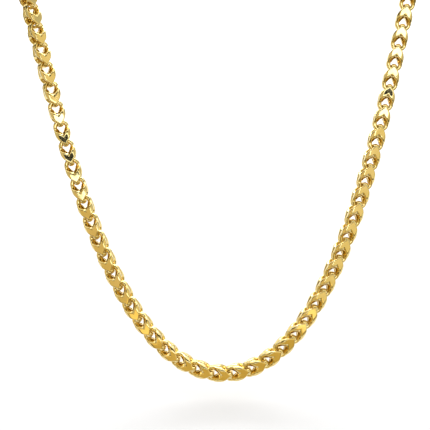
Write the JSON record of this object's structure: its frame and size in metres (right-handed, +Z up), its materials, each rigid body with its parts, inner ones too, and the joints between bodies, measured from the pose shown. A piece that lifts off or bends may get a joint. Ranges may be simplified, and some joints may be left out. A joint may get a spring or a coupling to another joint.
{
  "type": "franco chain necklace",
  "caption": "Square gold franco chain of folded, interlocking wire links, in one loop round the neck with a plain clasp at the back.",
  "frame": {"origin": "centre of the clasp, where the chain rests on the back of the neck", "axes": "+Z up, -Y out of the wearer's chest towards the viewer, +X to the viewer's right"},
  "size_m": [0.1363, 0.1053, 0.1812],
  "materials": {
    "gold": "polished"
  },
  "bodies": {
    "root": {"chain_left": "gold", "chain_right": "gold", "clasp": "gold"}
  },
  "joints": []
}
